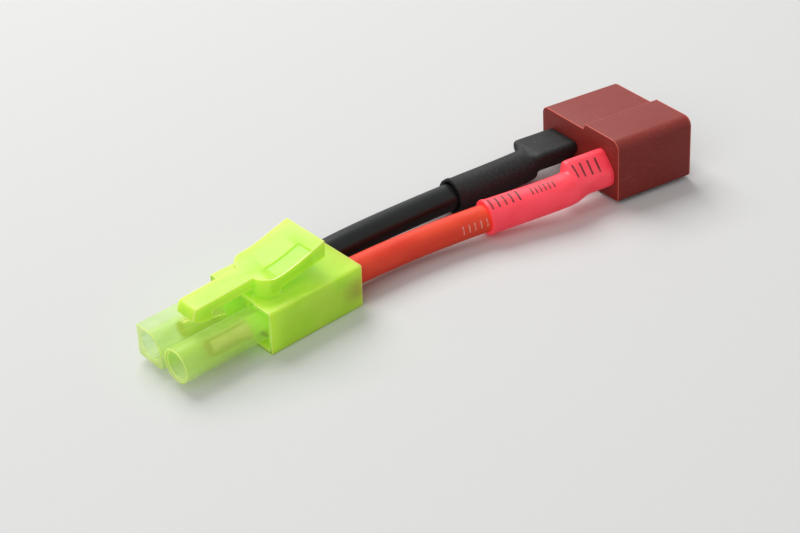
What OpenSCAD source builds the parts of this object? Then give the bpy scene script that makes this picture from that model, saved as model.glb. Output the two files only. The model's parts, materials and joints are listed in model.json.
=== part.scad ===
// Battery connector adapter: a two-way plug with a see-saw latch, joined by two short
// leads in heat-shrink sleeves to a T-shaped blade connector.
// Origin: centre of the plug block's bottom face. +X runs from the plug to the blade
// connector, +Y to the negative lead, +Z up from the surface that both housings rest on.

/* [Plug block] */
// Length of the block behind the tubes
block_l = 13.5; // [12.5:0.5:16]
// Width of the block across both tubes
block_w = 10.6; // [10.4:0.1:12]
// Height of the block
block_h = 5.7; // [5.4:0.1:6.5]
// Radius of the block's long edges
block_r = 0.25; // [0.1:0.05:0.4]
// Wall of the rim round the tubes' roots
rim_wall = 0.45; // [0.35:0.05:0.6]
// Depth of the pocket inside the rim
rim_depth = 1; // [0.5:0.1:1.2]
// How far the rim's top edge is set back between the tubes
rim_relief = 0.25; // [0.1:0.05:0.4]
// Half width of that set-back stretch
rim_relief_w = 2.4; // [1.8:0.1:3]

/* [Plug tubes] */
// Length of the tubes ahead of the block
tube_l = 10.9; // [9:0.1:13]
// Outer size of a tube
tube_od = 4.2; // [4:0.1:4.4]
// Bore of a tube
tube_bore = 3.3; // [3.1:0.1:3.5]
// Widening of the bore at the mouth
mouth_lead = 0.2; // [0.1:0.05:0.3]
// Distance between the two tube axes
pitch = 4.8; // [4.7:0.1:5]
// Radius of the one rounded corner of the squared tube
keyed_r = 1.9; // [1:0.1:2]
// Radius of the squared tube's other corners
square_r = 0.25; // [0.1:0.05:0.4]
// Length of the neck that holds the contact
neck_l = 2.9; // [2.6:0.1:3.2]
// Distance of the neck's back end behind the block's front
neck_back = 1.5; // [1.4:0.1:2]
// Bore of the chamber for the crimps and the wire
chamber_d = 4.2; // [4.1:0.05:4.4]

/* [Latch] */
// Reach of the latch's nose ahead of the block
latch_reach = 7.45; // [6:0.05:8.5]
// Width of the latch's arm
arm_w = 2.9; // [2.4:0.1:3.4]
// Gap under the arm
arm_gap = 1; // [0.8:0.05:1.2]
// Thickness of the arm at the pivot web
arm_t = 1.6; // [1.3:0.05:1.9]
// Drop of the arm's top towards the nose
arm_fall = 0.45; // [0.2:0.05:0.6]
// Length of the hook from nose to catch face
hook_l = 2.75; // [2.2:0.05:3.2]
// Height of the catch face
hook_h = 1; // [0.7:0.05:1.2]
// Slope of the nose, back from top to bottom
nose_rake = 0.4; // [0.2:0.05:0.6]
// Distance of the pivot web behind the block's front
web_back = 1.1; // [0.9:0.1:1.6]
// Length of the pivot web
web_l = 2.2; // [1.8:0.1:2.8]
// Width of the thumb pad
pad_w = 6.6; // [5.6:0.1:7.4]
// Distance of the thumb pad's end behind the block's front
pad_end = 10; // [9:0.1:11.5]
// Radius of the thumb pad's front corners
pad_front_r = 2; // [1.2:0.1:2.4]
// Radius of the thumb pad's back corners
pad_back_r = 0.3; // [0.15:0.05:0.5]
// Thickness of the thumb pad at its end
pad_t = 2.2; // [1.8:0.1:2.5]
// Gap under the thumb pad's end, the latch's travel
pad_gap = 1.9; // [1.4:0.1:2.3]

/* [Socket contacts] */
// Outer diameter of a contact's barrel
socket_od = 2.2; // [2.1:0.05:2.3]
// Thickness of the stamped strip
strip_t = 0.25; // [0.2:0.01:0.28]
// Distance of the barrel's front behind the tube's mouth
socket_inset = 4.5; // [3:0.1:5]
// Length of the barrel behind the neck
barrel_tail = 1.9; // [1.4:0.1:2.2]
// Height of the collar on the barrel
collar_h = 0.4; // [0.3:0.05:0.5]
// Length of the collar
collar_l = 0.5; // [0.4:0.05:0.7]
// Length of the two spring tangs ahead of the neck
tang_l = 1.7; // [1.3:0.1:2]
// Gap between the barrel and the neck
neck_clear = 0.04; // [0.02:0.01:0.08]
// Width of the seam where the strip's edges meet
seam_w = 0.2; // [0.1:0.05:0.3]
// Length of the crimp on the strands
strand_crimp_l = 2.5; // [2:0.1:3]
// Length of the crimp on the insulation
cover_crimp_l = 2; // [1.6:0.1:2.4]
// Length of the open troughs between barrel and crimps
trough_l = 1.4; // [1.1:0.1:1.6]

/* [Leads] */
// Outer diameter of a lead
wire_d = 3.5; // [3.3:0.05:3.55]
// Diameter of the bundle of copper strands
strand_d = 1.8; // [1.6:0.05:1.9]
// Gap between the strands and the insulation
strand_clear = 0.03; // [0.02:0.01:0.05]
// Gap between a crimp and what it grips
crimp_clear = 0.02; // [0.01:0.01:0.03]
// Length of insulation inside the block
cover_in = 5; // [4.6:0.1:5.4]
// Free length between the plug block and the blade housing, along X
lead_span = 38.3; // [34:0.1:44]
// Length of bare strands between a lead's insulation and its solder tab
bare_l = 0.9; // [0.6:0.1:1.4]
// Thickness of the strands where they are pressed flat on a tab
flat_d = 1.5; // [1.4:0.05:1.6]

/* [Heat-shrink sleeves] */
// Length of the red sleeve, up to the blade housing
red_sleeve_l = 17.8; // [15:0.1:20]
// Length of the black sleeve
black_sleeve_l = 18.4; // [15:0.1:20]
// Wall of a sleeve
sleeve_t = 0.4; // [0.3:0.01:0.45]
// Gap between a sleeve and what it covers
sleeve_clear = 0.05; // [0.03:0.01:0.08]
// Extra width of the black sleeve on each side of its tab
black_slack = 0.35; // [0:0.05:0.5]
// Gap between a sleeve's end and the blade housing
sleeve_gap = 0.1; // [0.05:0.05:0.3]
// Length over which the red sleeve draws down from the insulation to the soldered strands
red_settle_l = 4.6; // [2:0.1:5]
// Length over which the black sleeve does
black_settle_l = 2.4; // [2:0.1:5]
// Height of the rolled lip at a sleeve's free end
lip_h = 0.12; // [0.08:0.01:0.2]
// Length of that lip
lip_l = 0.6; // [0.4:0.1:0.8]

/* [Blade housing] */
// Length of the housing, from wire side to mating side
body_l = 11.7; // [10.8:0.1:13]
// Width across both halves
body_w = 15.8; // [15.6:0.1:17]
// Height of the tall half, on the positive side
body_h = 8.2; // [8:0.1:9]
// Height of the low half, on the negative side
low_h = 6.7; // [6.4:0.1:7]
// Distance of the step from the middle, towards the tall half
step_y = 0.7; // [0.5:0.1:1]
// Width of the sloped step between the halves
step_run = 0.4; // [0.2:0.1:0.6]
// Radius of the tall half's upper long edge
tall_r = 1.3; // [0.8:0.1:1.6]
// Radius of the low half's upper long edge
low_r = 1; // [0.8:0.1:1.4]
// Radius of both halves' lower long edges
foot_r = 0.4; // [0.2:0.1:0.6]
// Radius round the mating side
nose_r = 0.4; // [0.3:0.05:0.6]
// Thickness of the wall on the wire side
back_wall = 2.6; // [2.2:0.1:3]

/* [Blade terminals] */
// Thickness of a terminal's strip
blade_t = 0.8; // [0.7:0.05:0.9]
// Width of the contact blade inside the housing
blade_w = 5.8; // [5.4:0.1:6]
// Gap between the contact blade's end and the mating side
blade_inset = 0.5; // [0.3:0.1:1]
// Width of the solder tab
tab_w = 4.2; // [4:0.1:4.8]
// Radius of the solder tab's long edges
tab_r = 0.25; // [0.15:0.05:0.3]
// Length of the solder tab behind the housing
tab_l = 5.7; // [4.8:0.1:6.2]
// Room for the mating blade beside each contact blade
mate_gap = 1.1; // [1:0.05:1.2]
// Room for the leaf spring behind each contact blade
spring_gap = 1; // [0.8:0.05:1.1]
// Thickness of a leaf spring
spring_t = 0.2; // [0.15:0.01:0.25]
// Width of a leaf spring
spring_w = 3.6; // [3:0.1:4.2]
// Length of a leaf spring
spring_l = 7; // [6:0.1:7.4]
// Side gap between a terminal and its cavity
cavity_clear = 0.1; // [0.05:0.01:0.15]
// Distance of the negative terminal's middle from the housing's middle
flat_y = 3.3; // [3.2:0.1:3.6]
// Height of the negative terminal's middle
flat_z = 4.25; // [4.1:0.05:4.4]
// Distance of the positive terminal's middle from the housing's middle
upright_y = 4.7; // [4.4:0.1:4.8]
// Height of the positive terminal's middle
upright_z = 3.7; // [3.6:0.05:4.1]
// Distance of the negative lead from the negative terminal's middle
flat_lead_off = 0.4; // [0:0.1:0.6]
// Distance of the positive lead below the positive terminal's middle
upright_lead_off = 0.5; // [0.4:0.1:0.8]
// Length of a solder joint
solder_l = 4.4; // [3:0.1:4.8]
// Thickness of solder over the strands
solder_t = 0.15; // [0.1:0.05:0.45]

/* [How the blade housing lies] */
// Sideways offset of the blade housing, towards the positive lead
body_off = 4.2; // [2:0.1:5]
// Turn of the blade housing about Z
body_yaw = 11; // [6:0.5:13]

/* [Hidden] */
$fn = 48;
eps = 0.01;
// Overlap of shapes that are fused into one piece
fuse = 0.1;

front_x = -block_l / 2;
axis_z = block_h / 2;
mouth_x = front_x - tube_l;
neck_end = front_x + neck_back;
neck_start = neck_end - neck_l;
neck_d = socket_od + 2 * neck_clear;

strand_r = strand_d / 2;
wire_r = wire_d / 2;
cover_start = block_l / 2 - cover_in;
barrel_front = mouth_x + socket_inset;
barrel_end = neck_end + barrel_tail;
strand_crimp_r = strand_r + crimp_clear + strip_t;
cover_crimp_r = wire_r + crimp_clear + strip_t;
strand_crimp_x = barrel_end + trough_l;
cover_crimp_x = cover_start + (cover_in - cover_crimp_l) * 0.2;
// The troughs are open above this height over the contact's axis
trough_z = -0.3;

low_z = (body_h - low_h) / 2;
// The blade housing lies rolled on its tall half's inner edge and its low half's outer edge.
rest_run = body_w / 2 - foot_r + step_y + step_run;
rest_rise = low_z + foot_r;
body_roll = atan2(rest_rise, rest_run) - asin(foot_r / norm([rest_run, rest_rise]));
body_x = block_l / 2 + lead_span;
body_lift = -(step_y + step_run) * sin(body_roll);

// The flat strands keep the bundle's area; they are two half rounds joined by a slab
flat_r = flat_d / 2;
flat_reach = (strand_r * strand_r - flat_r * flat_r) * PI / (4 * flat_r);

// Where each lead lies on its tab, in the blade housing's own frame
upright_tab = [-upright_y, upright_z];
upright_lead = upright_tab + [-blade_t / 2 - flat_r, -upright_lead_off];
flat_tab = [flat_y, flat_z];
flat_lead = flat_tab + [-flat_lead_off, -blade_t / 2 - flat_r];
cover_stop = -tab_l - bare_l;
strand_stop = -0.8;

// Pull of each lead's curve: run and lift out of the plug, run and lift into the tab,
// and how far the lead hangs below its place on the tab just before it
red_pull = [17, -0.9, 3.5, -0.4, 0.05];
black_pull = [6.3, 0.4, 8.7, -0.5, 0.35];
rise_l = 1.3;
curve_steps = 40;
ring_gap = 2;
lead_sides = 24;

// Points of a quarter-like bend from a to c with its corner at b
function bend(a, b, c, n = 6) =
    [for (i = [0:n]) let (t = i / n) (1 - t) * (1 - t) * a + 2 * t * (1 - t) * b + t * t * c];

// Points of an arc about a centre
function arc(c, r, from, to, n = 10) =
    [for (i = [0:n]) let (a = from + (to - from) * i / n) c + r * [cos(a), sin(a)]];

// A point of the blade housing's frame, in the part's frame
function lay(p) =
    let (y = p[1] * cos(body_roll) + p[2] * sin(body_roll))
    let (z = -p[1] * sin(body_roll) + p[2] * cos(body_roll))
    [body_x + p[0] * cos(body_yaw) + y * sin(body_yaw),
     -body_off - p[0] * sin(body_yaw) + y * cos(body_yaw),
     z + body_lift];

// A point at t of the cubic curve with four pull points
function pulled(p, t) =
    pow(1 - t, 3) * p[0] + 3 * pow(1 - t, 2) * t * p[1]
    + 3 * (1 - t) * t * t * p[2] + pow(t, 3) * p[3];

// A step from 0 to 1 that starts and ends gently
function ease(t) = let (u = min(1, max(0, t))) u * u * (3 - 2 * u);

// A lead's whole middle line, from inside the plug to the blade housing
function lead_line(y, lead, pull) =
    let (start = [block_l / 2, y, axis_z])
    let (stop = lay([-tab_l - rise_l, lead[0], lead[1] - pull[4]]))
    let (into = [cos(body_yaw), -sin(body_yaw), 0])
    let (pulls = [start, start + [pull[0], 0, pull[1]], stop - pull[2] * into + [0, 0, pull[3]], stop])
    concat([[strand_crimp_x, y, axis_z]],
        [for (i = [0:curve_steps]) pulled(pulls, i / curve_steps)],
        [for (t = [0.25:0.25:1])
            lay([-tab_l - rise_l * (1 - t), lead[0], lead[1] - pull[4] * (1 - ease(t))])],
        [lay([0, lead[0], lead[1]])]);

function step_l(line, i) = norm(line[i + 1] - line[i]);
function line_l(line, i = 0) = i >= len(line) - 1 ? 0 : step_l(line, i) + line_l(line, i + 1);
function point_at(line, s, i = 0) =
    (s <= step_l(line, i) || i == len(line) - 2)
        ? line[i] + (line[i + 1] - line[i]) * s / step_l(line, i)
        : point_at(line, s - step_l(line, i), i + 1);

// Distances along a line: both ends of a stretch, and every whole ring gap between them
function steps(from, to) =
    let (first = ceil(from / ring_gap + 0.1))
    let (last = floor(to / ring_gap - 0.1))
    [from, each [for (i = [first:last]) i * ring_gap], to];

// Distances at even parts of a stretch, without its start
function parts_of(from, l, n) = [for (i = [1:n]) from + l * i / n];

red_line = lead_line(-pitch / 2, upright_lead, red_pull);
black_line = lead_line(pitch / 2, flat_lead, black_pull);

// The direction of a line at one of its points
function heading(points, i) =
    let (d = points[min(i + 1, len(points) - 1)] - points[max(i - 1, 0)])
    d / norm(d);

// A circle's points, none of them straight up, down or sideways
function round_outline(r, sides) =
    [for (k = [0.5:sides]) r * [cos(360 * k / sides), sin(360 * k / sides)]];

// An outline stood square to a line at one of its points, turned by roll
function ring(points, i, outline, roll = 0) =
    let (d = heading(points, i))
    let (side = cross([0, 0, 1], d) / norm(cross([0, 0, 1], d)))
    let (up = cross(d, side))
    [for (p = outline) points[i] + (p[0] * cos(roll) + p[1] * sin(roll)) * side
        + (p[1] * cos(roll) - p[0] * sin(roll)) * up];

// A closed skin over rings of points; looped joins the last ring to the first, as a pipe needs
module skin(rings, looped) {
    n = len(rings[0]);
    m = len(rings);
    walls = [for (i = [0:m - (looped ? 1 : 2)]) for (k = [0:n - 1])
        let (j = (i + 1) % m)
        let (next = (k + 1) % n)
        each [[i * n + k, j * n + k, i * n + next], [i * n + next, j * n + k, j * n + next]]];
    caps = [[for (k = [0:n - 1]) k], [for (k = [n - 1:-1:0]) (m - 1) * n + k]];
    polyhedron([for (r = rings) each r], looped ? walls : concat(walls, caps), convexity = 8);
}

// A rectangle with round corners, about its middle
module rounded_rect(w, h, r) {
    square([w - 2 * r, h], center = true);
    square([w, h - 2 * r], center = true);
    for (x = [-1, 1], y = [-1, 1])
        translate([x * (w / 2 - r), y * (h / 2 - r)]) circle(r);
}

// Stands a profile drawn in Y and Z up and extrudes it along X
module along_x(x, l) {
    translate([x, 0, 0])
        rotate([90, 0, 90]) linear_extrude(l) children();
}

module round_x(x, l, d) {
    translate([x, 0, 0])
        rotate([0, 90, 0]) cylinder(h = l, d = d);
}

// The squared tube's section: three small corners and one large one, up and inwards
module keyed_section() {
    side = tube_od / 2;
    difference() {
        rounded_rect(tube_od, tube_od, square_r);
        translate([-side, side - keyed_r]) square(keyed_r);
    }
    translate([-side + keyed_r, side - keyed_r]) circle(keyed_r);
}

module at_contact(y) {
    translate([0, y, axis_z]) children();
}

// The latch seen from the side, X and Z, with its web rooted in the block
module latch_side() {
    nose_x = front_x - latch_reach;
    catch_x = nose_x + hook_l;
    under_z = block_h + arm_gap;
    top_z = under_z + arm_t;
    pad_x = front_x + pad_end;
    pad_under = block_h + pad_gap;
    web_x0 = front_x + web_back;
    web_x1 = web_x0 + web_l;
    front_r = arm_gap / 2;
    back_r = arm_gap * 0.46;
    polygon(concat(
        bend([nose_x + nose_rake * 0.8, top_z - arm_fall - 0.3], [nose_x + nose_rake, top_z - arm_fall],
            [nose_x + nose_rake + 0.4, top_z - arm_fall]),
        bend([web_x1, top_z], [front_x + pad_end * 0.5, top_z + 0.08],
            [front_x + pad_end * 0.72, (top_z + pad_under + pad_t) / 2 + 0.05]),
        [[pad_x - 0.15, pad_under + pad_t - 0.04], [pad_x, pad_under + pad_t - 0.15], [pad_x, pad_under]],
        arc([web_x1 + back_r, block_h + back_r], back_r, 90, 270),
        [[web_x1 + back_r, block_h - fuse], [web_x0 - front_r, block_h - fuse]],
        arc([web_x0 - front_r, block_h + front_r], front_r, -90, 90),
        [[catch_x - 0.05, under_z - 0.1], [catch_x, under_z - 0.1 - hook_h]],
        bend([catch_x - 0.6, under_z - 0.1 - hook_h], [nose_x + hook_l * 0.35, under_z - hook_h],
            [nose_x, under_z - 0.25])
    ));
}

// The latch seen from above
module latch_plan() {
    translate([front_x - latch_reach, -arm_w / 2]) square([latch_reach + web_back + web_l, arm_w]);
    x0 = front_x + web_back - 0.1;
    x1 = front_x + pad_end;
    translate([x0 + pad_front_r, -pad_w / 2]) square([x1 - x0 - pad_front_r - pad_back_r, pad_w]);
    translate([x0, -pad_w / 2 + pad_front_r]) square([pad_front_r, pad_w - 2 * pad_front_r]);
    translate([x1 - pad_back_r, -pad_w / 2 + pad_back_r]) square([pad_back_r, pad_w - 2 * pad_back_r]);
    for (side = [-1, 1]) {
        translate([x0 + pad_front_r, side * (pad_w / 2 - pad_front_r)]) circle(pad_front_r);
        translate([x1 - pad_back_r, side * (pad_w / 2 - pad_back_r)]) circle(pad_back_r);
    }
}

module latch() {
    tall = block_h + pad_gap + pad_t + 1;
    intersection() {
        translate([0, pad_w / 2, 0]) rotate([90, 0, 0]) linear_extrude(pad_w) latch_side();
        linear_extrude(tall) latch_plan();
    }
}

module plug_housing() {
    color([0.74, 0.95, 0.3, 0.75])
    difference() {
        union() {
            difference() {
                translate([0, 0, axis_z])
                    along_x(front_x, block_l) rounded_rect(block_w, block_h, block_r);
                translate([0, 0, axis_z]) along_x(front_x - eps, rim_depth + eps)
                    square([block_w - 2 * rim_wall, block_h - 2 * rim_wall], center = true);
                translate([front_x - eps, -rim_relief_w, axis_z])
                    cube([rim_relief + eps, 2 * rim_relief_w, block_h]);
            }
            at_contact(-pitch / 2) round_x(mouth_x, tube_l + rim_depth + fuse, tube_od);
            at_contact(pitch / 2) along_x(mouth_x, tube_l + rim_depth + fuse) keyed_section();
            latch();
        }
        for (y = [-pitch / 2, pitch / 2]) at_contact(y) {
            round_x(mouth_x - eps, neck_start - mouth_x + eps, tube_bore);
            round_x(neck_start - fuse, neck_l + 2 * fuse, neck_d);
            round_x(neck_end, block_l, chamber_d);
            translate([mouth_x - eps, 0, 0]) rotate([0, 90, 0])
                cylinder(h = mouth_lead + eps, d1 = tube_bore + 2 * mouth_lead, d2 = tube_bore);
        }
    }
}

// The stamped strip rolled into barrel and crimps: distance along X and outer radius
function rolled_strip() = [
    [barrel_front, socket_od / 2], [barrel_end, socket_od / 2],
    [strand_crimp_x, strand_crimp_r], [strand_crimp_x + strand_crimp_l, strand_crimp_r],
    [cover_start, cover_crimp_r], [cover_crimp_x + cover_crimp_l, cover_crimp_r]];

// One stamping: barrel, collar and two crimps, with a seam along the top and open troughs
// between the crimps, and the two tangs that hold it behind the neck
module socket_contact() {
    r = socket_od / 2;
    strip = rolled_strip();
    color([0.85, 0.68, 0.3]) {
        difference() {
            rotate([0, 90, 0]) rotate_extrude() {
                polygon([for (p = strip) [p[1], p[0]],
                    for (i = [len(strip) - 1:-1:0]) [strip[i][1] - strip_t, strip[i][0]]]);
                translate([r - fuse, neck_end]) square([collar_h + fuse, collar_l]);
            }
            translate([barrel_front - eps, -seam_w / 2, 0])
                cube([cover_in + block_l, seam_w, 2 * cover_crimp_r]);
            for (x = [[barrel_end, strand_crimp_x], [strand_crimp_x + strand_crimp_l, cover_crimp_x]])
                translate([x[0], -2 * cover_crimp_r, trough_z])
                    cube([x[1] - x[0], 4 * cover_crimp_r, 2 * cover_crimp_r]);
        }
        for (side = [0, 180]) rotate([side, 0, 0])
            translate([neck_start - tang_l, 0, -0.4]) linear_extrude(0.8)
                polygon([[0, r - fuse], [tang_l, r - fuse], [tang_l, tube_bore / 2 - 0.1],
                    [tang_l - 0.25, tube_bore / 2 - 0.1]]);
    }
}

module positive_socket_contact() {
    at_contact(-pitch / 2) socket_contact();
}

module negative_socket_contact() {
    at_contact(pitch / 2) socket_contact();
}

module insulation(line) {
    stations = steps(cover_start - strand_crimp_x, line_l(line) + cover_stop);
    points = [for (s = stations) point_at(line, s)];
    last = len(points) - 1;
    outer = round_outline(wire_r, lead_sides);
    inner = round_outline(strand_r + strand_clear, lead_sides);
    skin(concat([for (i = [0:last]) ring(points, i, outer)],
        [for (i = [last:-1:0]) ring(points, i, inner)]), true);
}

// The furthest point of a group of discs, each [y, z, radius], in one direction
function furthest(discs, a) =
    let (reach = [for (d = discs) d[0] * cos(a) + d[1] * sin(a) + d[2]])
    let (d = discs[search(max(reach), reach)[0]])
    [d[0], d[1]] + d[2] * [cos(a), sin(a)];

// The outline of a skin drawn tight round a group of discs
function wrapped(discs, grow = 0) =
    [for (k = [0.5:lead_sides])
        let (a = 360 * k / lead_sides)
        furthest(discs, a) + grow * [cos(a), sin(a)]];

// The two discs that the strands fill on a tab; spread is the tab's direction
function flat_discs(spread, grow) =
    [for (side = [-1, 1]) [side * flat_reach * spread[0], side * flat_reach * spread[1], flat_r + grow]];

// Strands: a round bundle along the lead, pressed flat before its tab
module strands(line, spread) {
    flat_from = line_l(line) - tab_l - bare_l;
    stations = concat(steps(0, flat_from), parts_of(flat_from, bare_l, 5),
        [line_l(line) + strand_stop]);
    points = [for (s = stations) point_at(line, s)];
    bundle = round_outline(strand_r, lead_sides);
    pressed = wrapped(flat_discs(spread, 0));
    color([0.8, 0.5, 0.32])
        skin([for (i = [0:len(points) - 1])
            let (t = ease((stations[i] - flat_from) / bare_l))
            ring(points, i, (1 - t) * bundle + t * pressed, body_roll)], false);
}

module red_wire_insulation() {
    color([0.85, 0.26, 0.2]) insulation(red_line);
}

module red_wire_strands() {
    strands(red_line, [0, 1]);
}

module black_wire_insulation() {
    color([0.2, 0.22, 0.24]) insulation(black_line);
}

module black_wire_strands() {
    strands(black_line, [1, 0]);
}

// Puts a shape of the blade housing's frame where the housing lies
module laid() {
    translate([body_x, -body_off, body_lift])
        rotate([0, 0, -body_yaw]) rotate([-body_roll, 0, 0]) children();
}

// A sleeve's section at a distance past the insulation's end: tight round the lead, the flat
// strands and the tab, whose corners stand out of the round as the sleeve draws down over them
function sleeve_outline(past, settle_l, spread, corners, grow) =
    let (tent = ease(past / bare_l))
    let (settle = ease(past / settle_l))
    wrapped(concat([[0, 0, wire_r + (flat_r - wire_r) * settle]], flat_discs(spread, solder_t),
        [for (c = corners) [c[0] * tent, c[1] * tent, tab_r]]), grow);

// A sleeve along the last stretch of a lead and over its tab
module sleeve(line, sleeve_l, settle_l, spread, corners) {
    face = line_l(line);
    from = face - sleeve_l;
    neck = face - tab_l - bare_l;
    stations = concat([from, from + lip_l / 2, from + lip_l], steps(from + lip_l + 0.8, neck),
        parts_of(neck, bare_l, 6), parts_of(neck + bare_l, settle_l - bare_l, 4),
        [face - sleeve_gap]);
    last = len(stations) - 1;
    points = [for (s = stations) point_at(line, s)];
    lip = [for (i = [0:last]) i == 0 ? lip_h / 2 : i == 1 ? lip_h : 0];
    outer = [for (i = [0:last]) ring(points, i,
        sleeve_outline(stations[i] - neck, settle_l, spread, corners,
            sleeve_clear + sleeve_t + lip[i]), body_roll)];
    inner = [for (i = [last:-1:0]) ring(points, i,
        sleeve_outline(stations[i] - neck, settle_l, spread, corners, sleeve_clear), body_roll)];
    skin(concat(outer, inner), true);
}

// The middles of a tab's round corners, seen from its lead's middle
function tab_corners(tab, lead, w, h) =
    [for (a = [-1, 1], b = [-1, 1]) tab + [a * (w / 2 - tab_r), b * (h / 2 - tab_r)] - lead];

module red_heat_shrink() {
    color([0.95, 0.32, 0.36])
        sleeve(red_line, red_sleeve_l, red_settle_l, [0, 1],
            tab_corners(upright_tab, upright_lead, blade_t, tab_w));
}

module black_heat_shrink() {
    color([0.22, 0.22, 0.23])
        sleeve(black_line, black_sleeve_l, black_settle_l, [1, 0],
            tab_corners(flat_tab, flat_lead, tab_w + 2 * black_slack, blade_t));
}

// The section of one half, Y and Z: its outer long edges are round; inset shrinks its open sides
module half_section(inner_y, z, h, top_r, inset) {
    y = body_w / 2 - inset;
    r = top_r - inset;
    foot = max(foot_r - inset, 0.05);
    translate([inner_y, z + inset]) square([y - r - inner_y, h - 2 * inset]);
    translate([y - r - eps, z + inset]) square([r - foot + eps, foot + eps]);
    translate([y - r - eps, z + inset + foot]) square([r + eps, h - 2 * inset - r - foot]);
    translate([y - r, z + h - inset - r]) circle(r);
    translate([y - foot, z + inset + foot]) circle(foot);
}

module tall_section(inset) {
    mirror([1, 0]) half_section(step_y + step_run, 0, body_h, tall_r, inset);
}

module low_section(inset) {
    half_section(-step_y - step_run, low_z, low_h, low_r, inset);
}

// The sloped step between the two halves, above and below
module step_section() {
    y0 = -step_y - step_run;
    polygon([[y0 - eps, nose_r / 2], [y0, 0], [-step_y, low_z + eps],
        [-step_y, low_z + low_h - eps], [y0, body_h], [y0 - eps, body_h - nose_r / 2]]);
}

// Rounds the mating side of one half
module nose(rings) {
    hull() for (a = [0:22.5:90])
        translate([body_l - nose_r + nose_r * sin(a) - eps, 0, 0])
            rotate([90, 0, 90]) linear_extrude(eps, $fn = 32)
                if (rings == "tall") tall_section(nose_r * (1 - cos(a)));
                else low_section(nose_r * (1 - cos(a)));
}

// The cavity of one terminal: the blade, the mating blade's room and the leaf spring's room
module cavity() {
    room = mate_gap + blade_t + spring_gap;
    translate([back_wall, -blade_w / 2 - cavity_clear, -blade_t / 2 - spring_gap])
        cube([body_l, blade_w + 2 * cavity_clear, room]);
    along_x(-eps, body_l) rounded_rect(tab_w, blade_t, tab_r);
}

// Stands a flat terminal up on its edge, for the positive side
module upright() {
    translate([0, upright_tab[0], upright_tab[1]]) rotate([90, 0, 0]) children();
}

module flat() {
    translate([0, flat_tab[0], flat_tab[1]]) children();
}

module blade_housing() {
    color([0.55, 0.16, 0.14]) laid() difference() {
        union() {
            along_x(0, body_l - nose_r) {
                tall_section(0);
                low_section(0);
            }
            along_x(0, body_l - nose_r / 2) step_section();
            nose("tall");
            nose("low");
        }
        flat() cavity();
        upright() cavity();
    }
}

module blade_terminal() {
    along_x(-tab_l, tab_l + back_wall + fuse) rounded_rect(tab_w, blade_t, tab_r);
    translate([back_wall, -blade_w / 2, -blade_t / 2])
        cube([body_l - back_wall - blade_inset, blade_w, blade_t]);
}

// A leaf spring bowed between the contact blade and the cavity's wall
module leaf_spring() {
    bow = spring_gap - spring_t;
    r = (pow(spring_l / 2, 2) + bow * bow) / (2 * bow);
    x = back_wall + (body_l - back_wall) / 2;
    intersection() {
        translate([x, spring_w / 2, -blade_t / 2 - r]) rotate([90, 0, 0]) difference() {
            cylinder(h = spring_w, r = r, $fn = 128);
            translate([0, 0, -eps]) cylinder(h = spring_w + 2 * eps, r = r - spring_t, $fn = 128);
        }
        translate([x - spring_l / 2, -spring_w / 2, -blade_t / 2 - spring_gap])
            cube([spring_l, spring_w, spring_gap]);
    }
}

// Solder mounded over the flat strands; the tab's face is above
module solder_joint() {
    module pressed(r) {
        square([2 * flat_reach, 2 * r], center = true);
        for (side = [-1, 1]) translate([side * flat_reach, 0]) circle(r);
    }
    along_x(-tab_l / 2 - solder_l / 2, solder_l) difference() {
        pressed(flat_r + solder_t);
        translate([-2 * tab_w, flat_r]) square([4 * tab_w, 2 * flat_r]);
        pressed(flat_r + eps);
    }
}

module positive_blade_terminal() {
    color([0.86, 0.66, 0.3]) laid() upright() blade_terminal();
}

module negative_blade_terminal() {
    color([0.86, 0.66, 0.3]) laid() flat() blade_terminal();
}

module positive_leaf_spring() {
    color([0.75, 0.76, 0.78]) laid() upright() leaf_spring();
}

module negative_leaf_spring() {
    color([0.75, 0.76, 0.78]) laid() flat() leaf_spring();
}

module positive_solder_joint() {
    color([0.7, 0.71, 0.73]) laid()
        translate([0, upright_lead[0], upright_lead[1]]) rotate([-90, 0, 0]) solder_joint();
}

module negative_solder_joint() {
    color([0.7, 0.71, 0.73]) laid()
        translate([0, flat_lead[0], flat_lead[1]]) solder_joint();
}

plug_housing();
positive_socket_contact();
negative_socket_contact();
red_wire_insulation();
red_wire_strands();
black_wire_insulation();
black_wire_strands();
red_heat_shrink();
black_heat_shrink();
blade_housing();
positive_blade_terminal();
negative_blade_terminal();
positive_leaf_spring();
negative_leaf_spring();
positive_solder_joint();
negative_solder_joint();
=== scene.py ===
# Battery connector adapter: the looks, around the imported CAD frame.
import json
import math

import bmesh
import bpy
from mathutils import Matrix, Vector
from mathutils.geometry import interpolate_bezier


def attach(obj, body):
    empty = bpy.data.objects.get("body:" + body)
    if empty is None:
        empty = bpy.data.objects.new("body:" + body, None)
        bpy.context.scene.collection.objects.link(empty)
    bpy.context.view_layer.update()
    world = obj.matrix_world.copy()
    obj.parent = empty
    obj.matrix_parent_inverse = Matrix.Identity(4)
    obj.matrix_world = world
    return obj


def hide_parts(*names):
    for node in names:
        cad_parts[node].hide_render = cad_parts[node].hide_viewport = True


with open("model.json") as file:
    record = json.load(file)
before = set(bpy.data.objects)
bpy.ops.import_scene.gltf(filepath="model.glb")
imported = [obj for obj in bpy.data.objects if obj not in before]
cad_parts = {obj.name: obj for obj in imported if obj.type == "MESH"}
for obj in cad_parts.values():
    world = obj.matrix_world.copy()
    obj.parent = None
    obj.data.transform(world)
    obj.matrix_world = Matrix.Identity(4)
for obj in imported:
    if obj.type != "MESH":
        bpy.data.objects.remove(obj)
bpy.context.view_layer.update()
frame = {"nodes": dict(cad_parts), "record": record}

MM = 0.001
BODY = "root"
ALONG_X = Vector((1, 0, 0))
ALONG_Y = Vector((0, 1, 0))
UP = Vector((0, 0, 1))
POLES = ("positive", "negative")
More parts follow.
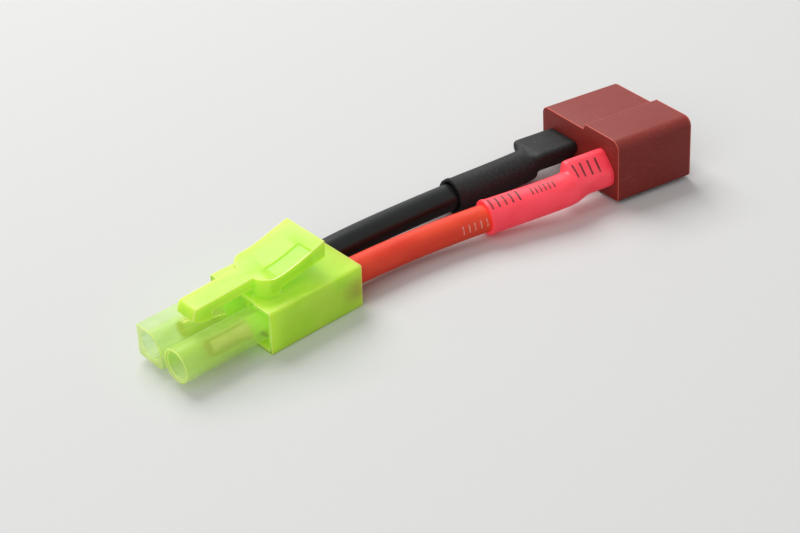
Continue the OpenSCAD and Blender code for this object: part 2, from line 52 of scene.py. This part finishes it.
SLOTS = {part["node"]: part["material_slot"] for part in frame["record"]["subparts"]}

# Places and sizes are in millimetres, and times MM they are Blender's metres. Angles are in
# degrees

# The blade housing: its turn about Z in the CAD, where the rounding of its far end starts along
# it, and how squarely a face looks along it to be the flat end and not the rounding
HOUSING_TURN = -11
ALONG_HOUSING = Vector((math.cos(math.radians(HOUSING_TURN)), math.sin(math.radians(HOUSING_TURN)), 0))
ROUND_END_START = 56.25
FLAT_END_FACING = 0.95

# The plug's tubes stand out ahead of this X, below this height, and their mouths' flat rims are
# all that lies ahead of the last X
TUBE_ROOT = -6.7
TUBE_TOP = 5.1
TUBE_MOUTH = -17.58

# The latch's top lies above this height, on faces that look up by more than this
LATCH_TOP = 6.3
LATCH_FACING = 0.7
# The near half of its pad is pressed in: the front, back and far borders, the length of the step
# on the far and back sides, the length of the slope at the front, and the depth
PRESSED_FRONT = -4.6
PRESSED_BACK = 1.35
PRESSED_SIDE = -0.9
PRESSED_STEP = 0.2
PRESSED_SLOPE = 0.8
PRESSED_DEPTH = 0.16
# A point this near a cut counts as on it
ON_CUT = 0.01

# The red lead's end shows through the plug block's near wall: the stretch over which it comes
# up, its height, where it ends above and below that height, and the wall's inner side
RED_END_FADE = (3.4, 5.8)
RED_END_HEIGHT = 2.7
RED_END_EDGE = (2.0, 0.6)
NEAR_WALL = -4.0

# Every copy's points that lie this near each other are one point
SAME_POINT = 0.002

# Rounded pieces: faces this near to flat are joined, and a bevel takes the edges that are
# sharper than the next angle. Edges shorter than a share of its width would fold it over, so
# they are welded away. Shading breaks at edges sharper than the last angle
FLAT_WITHIN = 0.5
BEVEL_SHARPER_THAN = 35
WELD_SHARE = 0.3
SHADE_SHARPER_THAN = 30

# Flowing pieces: their cut ends are sharper than this and keep this much of a crease
CUT_END_SHARPER_THAN = 60
CUT_END_CREASE = 0.8
SKIN_LEVELS = 2
# The sleeves' folds start at these X and are softened over this length, by this much each round
RED_FOLDS = 30
BLACK_FOLDS = 32
FOLDS_LENGTH = 8
FOLDS_SOFTENING = 0.5
SOFTENING_ROUNDS = 2

# The sleeves' ends at the blade housing: the ring that moves, and how far it moves
END_RING = 0.05
END_STRETCH = 0.085
# The black sleeve's curled lip: the ring that lifts, above this height, how far it lifts, and
# how far back that is felt
LIP_RING = 0.25
LIP_ABOVE = 4
LIP_LIFT = Vector((-0.2, 0.05, 0.3))
LIP_REACH = 1.4

# Points in the curve of a lead's middle line
LINE_POINTS = 13


def lead_line(pulls, tab, face):
    """A lead's middle line, as in the CAD: a curve with four pull points from the plug block to
    its solder tab, and then straight on to the blade housing's face."""
    curve = interpolate_bezier(*(Vector(pull) for pull in pulls), LINE_POINTS)
    return [*curve, Vector(tab), Vector(face)]


RED_LINE = lead_line(
    ((6.75, -2.4, 2.85), (23.75, -2.4, 1.95), (33.68, -7.65, 3.15), (37.12, -8.32, 3.55)),
    tab=(38.4, -8.56, 3.6), face=(43.99, -9.65, 3.6))
BLACK_LINE = lead_line(
    ((6.75, 2.4, 2.85), (13.05, 2.4, 3.25), (30.23, 1.87, 1.89), (38.78, 0.21, 2.39)),
    tab=(40.06, -0.01, 2.74), face=(45.65, -1.1, 2.74))
# Where the red sleeve starts along its line
RED_SLEEVE_START = 20.4


class Wave:
    """An output of a material's nodes, on which plain arithmetic adds the nodes for it."""

    def __init__(self, wiring, socket):
        self.wiring = wiring
        self.socket = socket

    def maths(self, operation, first, second=0.0):
        return self.wiring.node("Math", {"operation": operation}, {0: first, 1: second})

    def __add__(self, other):
        return self.maths("ADD", self, other)

    def __radd__(self, other):
        return self.maths("ADD", other, self)

    def __sub__(self, other):
        return self.maths("SUBTRACT", self, other)

    def __rsub__(self, other):
        return self.maths("SUBTRACT", other, self)

    def __mul__(self, other):
        return self.maths("MULTIPLY", self, other)

    def __rmul__(self, other):
        return self.maths("MULTIPLY", other, self)

    def __truediv__(self, other):
        return self.maths("DIVIDE", self, other)

    def __lt__(self, other):
        return self.maths("LESS_THAN", self, other)

    def __gt__(self, other):
        return self.maths("GREATER_THAN", self, other)

    def __mod__(self, other):
        return self.maths("FLOORED_MODULO", self, other)

    def __abs__(self):
        return self.maths("ABSOLUTE", self)

    def between(self, low, high):
        """1 between low and high, and 0 outside."""
        return (self > low) * (self < high)


class Wiring:
    """The nodes of one material or of the room."""

    def __init__(self, tree):
        self.tree = tree
        self.tree.nodes.clear()

    def node(self, kind, settings=None, inputs=None, output=0):
        """Adds a node: its settings first, then values or links into its sockets."""
        node = self.tree.nodes.new("ShaderNode" + kind)
        for name, value in (settings or {}).items():
            setattr(node, name, value)
        for name, value in (inputs or {}).items():
            self.feed(node.inputs[name], value)
        return Wave(self, node.outputs[output]) if node.outputs else None

    def feed(self, socket, value):
        """Links a wave into a socket, or sets the socket to a number or colour."""
        if isinstance(value, Wave):
            self.tree.links.new(value.socket, socket)
        elif socket.type == "RGBA":
            socket.default_value = (*value, 1.0)
        else:
            socket.default_value = value

    def mix(self, factor, first, second):
        """Mixes two colours."""
        return self.node("Mix", {"data_type": "RGBA"}, {0: factor, 6: first, 7: second}, output=2)

    def rays(self, *kinds):
        """1 for rays of these kinds, and 0 for the rest."""
        total = sum(self.node("LightPath", output=kind) for kind in kinds)
        return self.node("Math", {"operation": "MINIMUM"}, {0: total, 1: 1.0})


class Finish(Wiring):
    """One material: its nodes, and the shader that they end in."""

    def __init__(self, name):
        self.material = bpy.data.materials.new(name)
        self.material.use_nodes = True
        super().__init__(self.material.node_tree)
        self.place = self.node("TexCoord", output="Object")

    def noise(self, grain_mm, detail=3.0, rough=0.5, turn=0.0, place=None, warp=0.0):
        """Cloudy noise from 0 to 1; grain_mm is its size along the three axes."""
        if not place:
            place = self.place
            grain_mm = Vector(grain_mm) * MM
        inputs = {"Vector": place, "Rotation": (0, 0, math.radians(turn)), "Scale": grain_mm}
        place = self.node("Mapping", {"vector_type": "TEXTURE"}, inputs)
        inputs = {"Vector": place, "Scale": 1.0, "Detail": detail, "Roughness": rough, "Distortion": warp}
        return self.node("TexNoise", inputs=inputs)

    def ramp(self, wave, low, high, start=0.0, end=1.0):
        """Turns the stretch from low to high into start to end."""
        return self.node("MapRange", inputs={0: wave, 1: low, 2: high, 3: start, 4: end})

    def noted(self, name):
        """A number that the mesh carries under this name."""
        return self.node("Attribute", {"attribute_name": name}, output="Fac")

    def split(self, place):
        """The three parts of a place."""
        node = self.node("SeparateXYZ", inputs={0: place}).socket.node
        return [Wave(self, output) for output in node.outputs]

    def lead_place(self):
        """The noted place on a lead, whole and as three parts: along it, out to its near side and
        up from its middle line, in millimetres."""
        place = self.node("Attribute", {"attribute_name": "lead_place"}, output="Vector")
        return place, self.split(place)

    def turned_up(self, out, up, turn):
        """How far up a place is on a lead that is turned about its line."""
        return up * math.cos(math.radians(turn)) - out * math.sin(math.radians(turn))

    def strokes(self, along, height, raised, first, count, pitch, width, tall):
        """A printed row of plain strokes across a lead: how far up it is raised, the first one's
        place, and the strokes' number, spacing, width and height."""
        row = along.between(first, first + count * pitch) * (abs(height - raised) < tall / 2)
        return row * (((along - first) % pitch) < width)

    def bump(self, height, depth_mm):
        """A normal from a height of 0 to 1, which stands for depth_mm."""
        return self.node("Bump", inputs={"Height": height, "Distance": depth_mm * MM})

    def shade(self, **sockets):
        """Ends the material in a Principled shader with these sockets."""
        inputs = {name.replace("_", " "): value for name, value in sockets.items()}
        self.node("OutputMaterial", inputs={"Surface": self.node("BsdfPrincipled", inputs=inputs)})
        return self.material


# Camera: its place, and its yaw, tilt and roll, measured from both housings' corners in the
# photograph, with the lens in millimetres on a film of full-frame width
CAMERA_PLACE = Vector((-96.247, -124.584, 116.684)) * MM
CAMERA_TURN = (-42.385, 54.77, -0.955)
LENS = 76.5
FILM_WIDTH = 36
NEAREST_SEEN = 5 * MM


def set_camera():
    """The camera where the photograph was taken from."""
    data = bpy.data.cameras.new("photo_camera")
    data.lens = LENS
    data.sensor_width = FILM_WIDTH
    data.clip_start = NEAREST_SEEN
    camera = bpy.data.objects.new("photo_camera", data)
    yaw, tilt, roll = (math.radians(turn) for turn in CAMERA_TURN)
    turn = Matrix.Rotation(yaw, 4, "Z") @ Matrix.Rotation(tilt, 4, "X") @ Matrix.Rotation(roll, 4, "Z")
    camera.matrix_world = Matrix.Translation(CAMERA_PLACE) @ turn
    bpy.context.scene.collection.objects.link(camera)
    bpy.context.scene.camera = camera


# Light: one large soft box above and behind, a weak one in front, and a pale room. AWAY and
# RIGHT are level directions as the camera sees them
OBJECT_MIDDLE = Vector((20, -3, 4)) * MM
AWAY = Vector((0.674, 0.738, 0))
RIGHT = Vector((0.738, -0.674, 0))
ROOM_LIGHT = 0.34
BACKGROUND = (0.86, 0.86, 0.85)
FLOOR = (0.76, 0.76, 0.75)
# The floor's grain goes down to this share of its colour
FLOOR_GRAIN = 0.985
# What the floor throws back onto the object, as a mid-grey one does
FLOOR_GLOW = (0.38, 0.38, 0.38)
FLOOR_SIZE = 3000 * MM


def add_soft_box(name, direction, distance, size, share):
    """A square lamp, placed and sized in metres, that adds a share of full light to a surface
    that faces it."""
    data = bpy.data.lights.new(name, "AREA")
    data.shape = "SQUARE"
    data.size = size
    data.energy = share * math.pi ** 2 * distance ** 2
    lamp = bpy.data.objects.new(name, data)
    lamp.location = OBJECT_MIDDLE + direction.normalized() * distance
    lamp.rotation_euler = direction.to_track_quat("Z", "Y").to_euler()
    bpy.context.scene.collection.objects.link(lamp)


def set_room():
    """An even pale room that lights softly and shows behind the object."""
    world = bpy.data.worlds.new("pale_room")
    world.use_nodes = True
    bpy.context.scene.world = world
    room = Wiring(world.node_tree)
    light = room.node("Background", inputs={"Color": (1.0, 1.0, 1.0), "Strength": ROOM_LIGHT})
    seen = room.node("Background", inputs={"Color": BACKGROUND})
    straight = room.rays("Is Camera Ray", "Is Glossy Ray", "Is Transmission Ray")
    surface = room.node("MixShader", inputs={0: straight, 1: light, 2: seen})
    room.node("OutputWorld", inputs={"Surface": surface})


def lay_floor():
    """A pale paper floor, which throws less light back onto the object than it shows."""
    bpy.ops.object.select_all(action="DESELECT")
    bpy.ops.mesh.primitive_plane_add(size=FLOOR_SIZE, location=(0, 0, 0))
    floor = bpy.context.object
    floor.name = "floor"
    finish = Finish("pale_paper")
    grain = finish.noise((1.2, 1.2, 1.2), detail=4)
    paper = finish.mix(grain, [FLOOR_GRAIN * part for part in FLOOR], FLOOR)
    colour = finish.mix(finish.rays("Is Camera Ray", "Is Transmission Ray"), FLOOR_GLOW, paper)
    floor.data.materials.append(finish.shade(Base_Color=colour, Roughness=0.9, Specular_IOR_Level=0.1))


# Finishes: a tuple of three sizes is a grain's length along X, Y and Z, or along a lead, out of it
# and up from it
def lime_nylon(name, deep, pale, solid, light_path_mm):
    """Neon nylon that light wanders through; a thin wall also lets the view through."""
    finish = Finish(name)
    x, y, z = (part / MM for part in finish.split(finish.place))
    cloud = finish.noise((4, 3, 3), detail=2, warp=0.6)
    grain = finish.noise((0.3, 0.3, 0.3), detail=3)
    colour = finish.mix(finish.ramp(cloud, 0.3, 0.7), deep, pale)
    # The latch pad's pressed half is painted darker: painted shade in its recess
    painted_pressed_shade = (finish.ramp(y, PRESSED_SIDE, PRESSED_SIDE - PRESSED_STEP)
               * finish.ramp(x, PRESSED_BACK, PRESSED_BACK - PRESSED_STEP)
               * (x > PRESSED_FRONT) * (z > LATCH_TOP))
    colour = finish.mix(painted_pressed_shade * 0.45, colour, (0.4, 0.7, 0.02))
    # The red lead's end shows dimly through the block's near wall
    red_end = (finish.ramp(x, *RED_END_FADE)
               * finish.ramp(abs(z - RED_END_HEIGHT), *RED_END_EDGE)
               * (y < NEAR_WALL))
    colour = finish.mix(red_end * 0.45, colour, (0.3, 0.14, 0.05))
    # Edges and the tubes' mouths are painted paler, a painted highlight, and let less of the view through
    rim_highlight = finish.node("Math", {"operation": "MAXIMUM"}, {0: finish.noted("edge"), 1: x < TUBE_MOUTH})
    colour = finish.mix(rim_highlight * 0.6, colour, (0.78, 1.0, 0.28))
    alpha = solid if solid == 1.0 else rim_highlight * 0.45 * (1.0 - solid) + solid
    roughness = finish.ramp(finish.noise((1.6, 1.6, 1.6)), 0.3, 0.7, 0.3, 0.4)
    # Its emission is a painted glow that lifts the shaded sides
    return finish.shade(Base_Color=colour, Roughness=roughness, IOR=1.5, Specular_IOR_Level=0.3,
                        Alpha=alpha, Subsurface_Weight=1.0, Subsurface_Scale=light_path_mm * MM,
                        Subsurface_Radius=(0.9, 1.0, 0.3), Emission_Color=colour,
                        Emission_Strength=0.18, Normal=finish.bump(grain, 0.006))


def brick_red_nylon():
    """Glass-filled nylon: short fibres lie along the housing, and its thin edges and round end get a
    painted highlight.
    """
    finish = Finish("brick_red_nylon")
    cloud = finish.noise((5, 3, 3), turn=HOUSING_TURN)
    fibre = finish.noise((1.3, 0.16, 0.16), detail=4, rough=0.65, turn=HOUSING_TURN)
    pits = finish.noise((0.22, 0.22, 0.22), detail=2)
    colour = finish.mix(cloud, (0.23, 0.02, 0.014), (0.29, 0.028, 0.02))
    colour = finish.mix(finish.ramp(fibre, 0.52, 0.75, 0, 0.3), colour, (0.48, 0.14, 0.12))
    # Painted highlight on the bevelled edges and the round end
    colour = finish.mix(finish.noted("edge") * 0.75, colour, (0.72, 0.12, 0.075))
    roughness = finish.ramp(fibre, 0.25, 0.75, 0.4, 0.56)
    return finish.shade(Base_Color=colour, Roughness=roughness, IOR=1.5, Specular_IOR_Level=0.4,
                        Normal=finish.bump(fibre * 0.5 + pits, 0.014))


# The prints: how far each is turned out of upright about its lead, and its rows of strokes, as
# strokes() takes them, with the first one's place measured from the sleeve's start
LEAD_PRINT_TURN = 18
LEAD_PRINT = (0.0, -4.1, 5, 0.85, 0.16, 1.0)
SLEEVE_PRINT_TURN = 70
SLEEVE_PRINT = (
    (0.3, 0.4, 5, 0.95, 0.28, 1.7),
    (0.15, 6.1, 6, 0.6, 0.22, 1.1),
    (0.6, 12.3, 4, 1.15, 0.32, 1.8))
# The sleeve's print ends here on the way to the far side
SLEEVE_PRINT_LIMIT = -1.2


def red_silicone():
    """The red lead's insulation, with drawn lines along it and a short pale print by the sleeve."""
    finish = Finish("red_silicone")
    place, (along, out, up) = finish.lead_place()
    cloud = finish.noise((6, 2, 2), place=place)
    drawn = finish.noise((4, 0.25, 0.25), detail=4, place=place)
    colour = finish.mix(finish.ramp(cloud, 0.3, 0.7), (0.78, 0.045, 0.02), (0.88, 0.075, 0.03))
    height = finish.turned_up(out, up, LEAD_PRINT_TURN)
    row = finish.strokes(along - RED_SLEEVE_START, height, *LEAD_PRINT)
    worn = finish.ramp(finish.noise((0.3, 0.3, 0.3)), 0.35, 0.5, 0.25, 0.85)
    colour = finish.mix(row * (out > 0.0) * worn, colour, (0.85, 0.42, 0.36))
    roughness = finish.ramp(drawn, 0.25, 0.75, 0.3, 0.44)
    # Its weak emission is a painted glow that lifts its shaded underside
    return finish.shade(Base_Color=colour, Roughness=roughness, IOR=1.42, Specular_IOR_Level=0.4,
                        Subsurface_Weight=0.2, Subsurface_Scale=1.0 * MM,
                        Subsurface_Radius=(1.0, 0.3, 0.2), Emission_Color=colour,
                        Emission_Strength=0.1, Normal=finish.bump(drawn, 0.01))


def black_silicone():
    """The black lead's insulation, with drawn lines along it."""
    finish = Finish("black_silicone")
    place, _ = finish.lead_place()
    drawn = finish.noise((4, 0.25, 0.25), detail=4, place=place)
    colour = finish.mix(finish.noise((6, 2, 2), place=place), (0.006, 0.008, 0.008), (0.011, 0.013, 0.013))
    roughness = finish.ramp(drawn, 0.25, 0.75, 0.24, 0.4)
    return finish.shade(Base_Color=colour, Roughness=roughness, IOR=1.42, Specular_IOR_Level=0.35,
                        Normal=finish.bump(drawn, 0.01))


def red_polyolefin():
    """The red sleeve, with a plain print of strokes along its upper side."""
    finish = Finish("red_polyolefin")
    place, (along, out, up) = finish.lead_place()
    cloud = finish.noise((3, 2, 2), place=place)
    skin = finish.noise((0.7, 0.35, 0.35), detail=4, rough=0.6, place=place)
    colour = finish.mix(finish.ramp(cloud, 0.3, 0.7), (0.92, 0.05, 0.075), (1.0, 0.07, 0.105))
    height = finish.turned_up(out, up, SLEEVE_PRINT_TURN)
    ink = sum(finish.strokes(along - RED_SLEEVE_START, height, *row) for row in SLEEVE_PRINT)
    worn = finish.ramp(finish.noise((0.25, 0.25, 0.25), detail=2), 0.3, 0.45, 0.45, 0.9)
    upper_side = (up > 0.0) * (out > SLEEVE_PRINT_LIMIT)
    colour = finish.mix(ink * worn * upper_side, colour, (0.06, 0.008, 0.009))
    roughness = finish.ramp(skin, 0.25, 0.75, 0.3, 0.44)
    # Its emission is a painted glow that keeps its shaded side bright
    return finish.shade(Base_Color=colour, Roughness=roughness, IOR=1.5,
                        Subsurface_Weight=0.15, Subsurface_Scale=0.8 * MM,
                        Subsurface_Radius=(1.0, 0.3, 0.3), Emission_Color=colour,
                        Emission_Strength=0.28, Normal=finish.bump(skin, 0.02))


def black_polyolefin():
    """The black sleeve, matt and a little dusty."""
    finish = Finish("black_polyolefin")
    place, _ = finish.lead_place()
    skin = finish.noise((0.5, 0.28, 0.28), detail=5, rough=0.7, place=place)
    dust = finish.noise((0.3, 0.22, 0.22), detail=4, rough=0.7, place=place)
    colour = finish.mix(finish.noise((3, 2, 2), place=place), (0.006, 0.006, 0.006), (0.011, 0.011, 0.012))
    colour = finish.mix(finish.ramp(dust, 0.45, 0.7, 0, 0.6), colour, (0.045, 0.045, 0.047))
    roughness = finish.ramp(skin, 0.25, 0.75, 0.48, 0.66)
    return finish.shade(Base_Color=colour, Roughness=roughness, IOR=1.5, Specular_IOR_Level=0.3,
                        Normal=finish.bump(skin, 0.03))


def metal(name, dark, light, roughness, turn=0.0):
    """Rolled or drawn metal, with fine marks along the strip and slow tarnish."""
    finish = Finish(name)
    marks = finish.noise((1.0, 0.12, 0.12), turn=turn)
    tarnish = finish.noise((1.5, 1.5, 1.5))
    colour = finish.mix(finish.ramp(tarnish, 0.3, 0.7), dark, light)
    rough = finish.ramp(marks, 0.2, 0.8, roughness, roughness + 0.15)
    return finish.shade(Base_Color=colour, Metallic=1.0, Roughness=rough, Normal=finish.bump(marks, 0.004))


FINISHES = {
    "lime_nylon": lime_nylon("lime_nylon", deep=(0.46, 0.8, 0.05), pale=(0.54, 0.86, 0.075),
                             solid=1.0, light_path_mm=3),
    "brick_red_nylon": brick_red_nylon(),
    "red_insulation": red_silicone(),
    "black_insulation": black_silicone(),
    "red_sleeve": red_polyolefin(),
    "black_sleeve": black_polyolefin(),
    "contact_brass": metal("contact_brass", (0.8, 0.62, 0.2), (0.95, 0.82, 0.36), 0.3),
    "terminal_brass": metal("terminal_brass", (0.7, 0.48, 0.18), (0.86, 0.66, 0.3), 0.22, HOUSING_TURN),
    "copper_strands": metal("copper_strands", (0.6, 0.26, 0.13), (0.78, 0.42, 0.25), 0.3),
    "spring_steel": metal("spring_steel", (0.5, 0.51, 0.53), (0.66, 0.67, 0.69), 0.24, HOUSING_TURN),
    "solder": metal("solder", (0.5, 0.51, 0.53), (0.68, 0.69, 0.71), 0.3, HOUSING_TURN),
}
THIN_LIME = lime_nylon("thin_lime_nylon", deep=(0.54, 0.78, 0.14), pale=(0.64, 0.87, 0.2),
                       solid=0.36, light_path_mm=1)


# Pieces
def only(piece):
    """Selects one piece and nothing else."""
    bpy.ops.object.select_all(action="DESELECT")
    piece.select_set(True)
    bpy.context.view_layer.objects.active = piece


def welded_copy(node, name, weld_mm=SAME_POINT):
    """A copy of a CAD node with its loose triangles joined up, which stands for the node."""
    piece = bpy.data.objects.new(name, frame["nodes"][node].data.copy())
    bpy.context.scene.collection.objects.link(piece)
    only(piece)
    bpy.ops.mesh.customdata_custom_splitnormals_clear()
    bpy.ops.object.mode_set(mode="EDIT")
    bpy.ops.mesh.select_all(action="SELECT")
    bpy.ops.mesh.remove_doubles(threshold=weld_mm * MM)
    bpy.ops.object.mode_set(mode="OBJECT")
    piece.data.materials.clear()
    piece.data.materials.append(FINISHES[SLOTS[node]])
    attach(piece, BODY)
    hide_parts(node)
    return piece


def on_round_end(point):
    """Whether a point is on the blade housing's far end, which is round in the CAD already."""
    return point.dot(ALONG_HOUSING) / MM > ROUND_END_START


def note_edges(piece):
    """Notes as edges the faces that the bevel left in the second slot, and those of the round end, which
    get a painted highlight.
    """
    edge = piece.data.color_attributes.new("edge", "FLOAT_COLOR", "CORNER")
    for face in piece.data.polygons:
        round_end = on_round_end(face.center) and face.normal.dot(ALONG_HOUSING) < FLAT_END_FACING
        for corner in face.loop_indices:
            edge.data[corner].color = [max(face.material_index, round_end)] * 4
        face.material_index = 0
    piece.data.materials.pop(index=1)


def rounded_copy(node, name, width_mm, segments=3, clamp=False):
    """A hard piece: its flat faces are whole again and its outer edges are slightly round."""
    piece = welded_copy(node, name, weld_mm=width_mm * WELD_SHARE)
    piece.data.materials.append(piece.data.materials[0])
    bpy.ops.object.mode_set(mode="EDIT")
    bpy.ops.mesh.select_all(action="SELECT")
    bpy.ops.mesh.dissolve_limited(angle_limit=math.radians(FLAT_WITHIN))
    bpy.ops.mesh.select_all(action="DESELECT")
    bpy.ops.mesh.select_mode(type="EDGE")
    for edge in bmesh.from_edit_mesh(piece.data).edges:
        middle = (edge.verts[0].co + edge.verts[1].co) / 2
        sharp = edge.calc_face_angle(0) > math.radians(BEVEL_SHARPER_THAN)
        if edge.is_convex and sharp and not on_round_end(middle):
            edge.select_set(True)
    bpy.ops.mesh.bevel(offset=width_mm * MM, segments=segments, clamp_overlap=clamp, material=1)
    bpy.ops.object.mode_set(mode="OBJECT")
    # Where arcs meet, the bevel can pass the CAD's box by a hair
    box = frame["nodes"][node].bound_box
    for vertex in piece.data.vertices:
        vertex.co = [min(max(value, low), high) for value, low, high in zip(vertex.co, box[0], box[6])]
    note_edges(piece)
    bpy.ops.object.shade_smooth_by_angle(angle=math.radians(SHADE_SHARPER_THAN))
    return piece


def on_latch_top(face):
    """Whether a face is on top of the latch and looks up."""
    return face.normal.z > LATCH_FACING and face.calc_center_median().z / MM > LATCH_TOP


def in_pressed_half(face):
    """Whether a face is on the half of the latch's pad that is pressed in."""
    x, y, _ = face.calc_center_median() / MM
    return on_latch_top(face) and PRESSED_FRONT < x < PRESSED_BACK and y < PRESSED_SIDE


def cut_latch_top(plug, place, across, side=math.inf):
    """Cuts the latch's top with a plane at a place, but only what lies nearer than a side."""
    bpy.ops.mesh.select_all(action="DESELECT")
    for face in bmesh.from_edit_mesh(plug.data).faces:
        if on_latch_top(face) and face.calc_center_median().y / MM < side:
            face.select_set(True)
    bpy.ops.mesh.bisect(plane_co=across * place * MM, plane_no=across)


def press_pad(plug):
    """Presses the near half of the latch's pad in, with a step on its far and back sides."""
    foot_x = PRESSED_BACK - PRESSED_STEP
    foot_y = PRESSED_SIDE - PRESSED_STEP
    only(plug)
    bpy.ops.object.mode_set(mode="EDIT")
    bpy.ops.mesh.select_mode(type="FACE")
    for place in (PRESSED_SIDE, foot_y):
        cut_latch_top(plug, place, ALONG_Y)
    for place in (PRESSED_FRONT, PRESSED_FRONT + PRESSED_SLOPE, foot_x, PRESSED_BACK):
        cut_latch_top(plug, place, ALONG_X, side=PRESSED_SIDE)
    for vertex in bmesh.from_edit_mesh(plug.data).verts:
        x, y, _ = vertex.co / MM
        inside = all(in_pressed_half(face) for face in vertex.link_faces)
        if inside and x < foot_x + ON_CUT and y < foot_y + ON_CUT:
            vertex.co.z -= PRESSED_DEPTH * MM
    bpy.ops.object.mode_set(mode="OBJECT")
    bpy.ops.object.shade_smooth_by_angle(angle=math.radians(SHADE_SHARPER_THAN))


def clear_tubes(plug):
    """The plug's two tubes are thin, so they get the clearer lime."""
    plug.data.materials.append(THIN_LIME)
    for face in plug.data.polygons:
        middle = face.center / MM
        face.material_index = int(middle.x < TUBE_ROOT and middle.z < TUBE_TOP)


def note_lead_place(piece, line):
    """Notes each point's place on its lead: along, out to the near side, and up, in millimetres."""
    noted = piece.data.attributes.new("lead_place", "FLOAT_VECTOR", "POINT")
    for vertex in piece.data.vertices:
        point = vertex.co / MM
        before = 0.0
        choices = []
        for start, end in zip(line, line[1:]):
            step = end - start
            share = min(1.0, max(0.0, (point - start).dot(step) / step.dot(step)))
            off = point - start - step * share
            near_side = step.cross(UP).normalized()
            above = near_side.cross(step).normalized()
            along = before + step.length * share
            choices.append((off.length, (along, off.dot(near_side), off.dot(above))))
            before += step.length
        noted.data[vertex.index].vector = min(choices)[1]


def flowing_copy(node, name, line, folds=None):
    """A soft tube: its rings are smoothed into one flowing skin, and its cut ends stay crisp.
    Where its folds start along X, they are softened first."""
    cut_end = math.radians(CUT_END_SHARPER_THAN)
    piece = welded_copy(node, name)
    bpy.ops.object.mode_set(mode="EDIT")
    bpy.ops.mesh.select_all(action="SELECT")
    bpy.ops.mesh.tris_convert_to_quads(face_threshold=cut_end, shape_threshold=cut_end)
    bpy.ops.mesh.select_all(action="DESELECT")
    bpy.ops.mesh.select_mode(type="EDGE")
    bpy.ops.mesh.edges_select_sharp(sharpness=cut_end)
    bpy.ops.transform.edge_crease(value=CUT_END_CREASE)
    if folds:
        bpy.ops.mesh.select_all(action="DESELECT")
        bpy.ops.mesh.select_mode(type="VERT")
        for vertex in bmesh.from_edit_mesh(piece.data).verts:
            if folds < vertex.co.x / MM < folds + FOLDS_LENGTH:
                vertex.select_set(True)
        bpy.ops.mesh.vertices_smooth(factor=FOLDS_SOFTENING, repeat=SOFTENING_ROUNDS)
    bpy.ops.object.mode_set(mode="OBJECT")
    skin = piece.modifiers.new("smooth_skin", "SUBSURF")
    skin.levels = SKIN_LEVELS
    skin.render_levels = SKIN_LEVELS
    bpy.ops.object.modifier_apply(modifier=skin.name)
    bpy.ops.object.shade_smooth()
    note_lead_place(piece, line)
    return piece


def meet_housing(sleeve):
    """Draws a sleeve's end out to all but touch the blade housing, so that it covers its tab."""
    end = max(vertex.co.dot(ALONG_HOUSING) for vertex in sleeve.data.vertices)
    for vertex in sleeve.data.vertices:
        if vertex.co.dot(ALONG_HOUSING) > end - END_RING * MM:
            vertex.co += ALONG_HOUSING * END_STRETCH * MM


def curl_lip(sleeve):
    """Lifts the top of the black sleeve's free end, which has curled away from its lead."""
    only(sleeve)
    free_end = min(vertex.co.x for vertex in sleeve.data.vertices)
    bpy.ops.object.mode_set(mode="EDIT")
    bpy.ops.mesh.select_all(action="DESELECT")
    bpy.ops.mesh.select_mode(type="VERT")
    for vertex in bmesh.from_edit_mesh(sleeve.data).verts:
        if vertex.co.x < free_end + LIP_RING * MM and vertex.co.z > LIP_ABOVE * MM:
            vertex.select_set(True)
    bpy.ops.transform.translate(value=LIP_LIFT * MM, use_proportional_edit=True,
                                proportional_edit_falloff="SMOOTH", proportional_size=LIP_REACH * MM)
    bpy.ops.object.mode_set(mode="OBJECT")


def keep_cad_nodes(*nodes):
    """Hidden CAD nodes keep their shape and get their finish."""
    for node in nodes:
        mesh = frame["nodes"][node].data
        mesh.materials.clear()
        mesh.materials.append(FINISHES[SLOTS[node]])


set_camera()
set_room()
add_soft_box("key_box", AWAY * 0.75 - RIGHT * 0.45 + UP * 1.1, distance=0.6, size=0.4, share=0.8)
add_soft_box("front_box", -AWAY - RIGHT * 0.6 + UP * 0.9, distance=0.7, size=0.5, share=0.26)
lay_floor()

plug = rounded_copy("plug_housing", "plug_moulding", width_mm=0.1)
press_pad(plug)
clear_tubes(plug)
rounded_copy("blade_housing", "blade_moulding", width_mm=0.1)
for pole in POLES:
    rounded_copy(pole + "_socket_contact", pole + "_socket", width_mm=0.03, segments=2)
for pole in POLES:
    rounded_copy(pole + "_blade_terminal", pole + "_blade", width_mm=0.08, segments=2, clamp=True)

flowing_copy("red_wire_insulation", "red_lead", RED_LINE)
flowing_copy("black_wire_insulation", "black_lead", BLACK_LINE)
red_sleeve = flowing_copy("red_heat_shrink", "red_sleeve", RED_LINE, folds=RED_FOLDS)
black_sleeve = flowing_copy("black_heat_shrink", "black_sleeve", BLACK_LINE, folds=BLACK_FOLDS)
meet_housing(red_sleeve)
meet_housing(black_sleeve)
curl_lip(black_sleeve)
keep_cad_nodes("red_wire_strands", "black_wire_strands", "positive_leaf_spring",
               "negative_leaf_spring", "positive_solder_joint", "negative_solder_joint")

bpy.context.scene.view_settings.view_transform = "Standard"
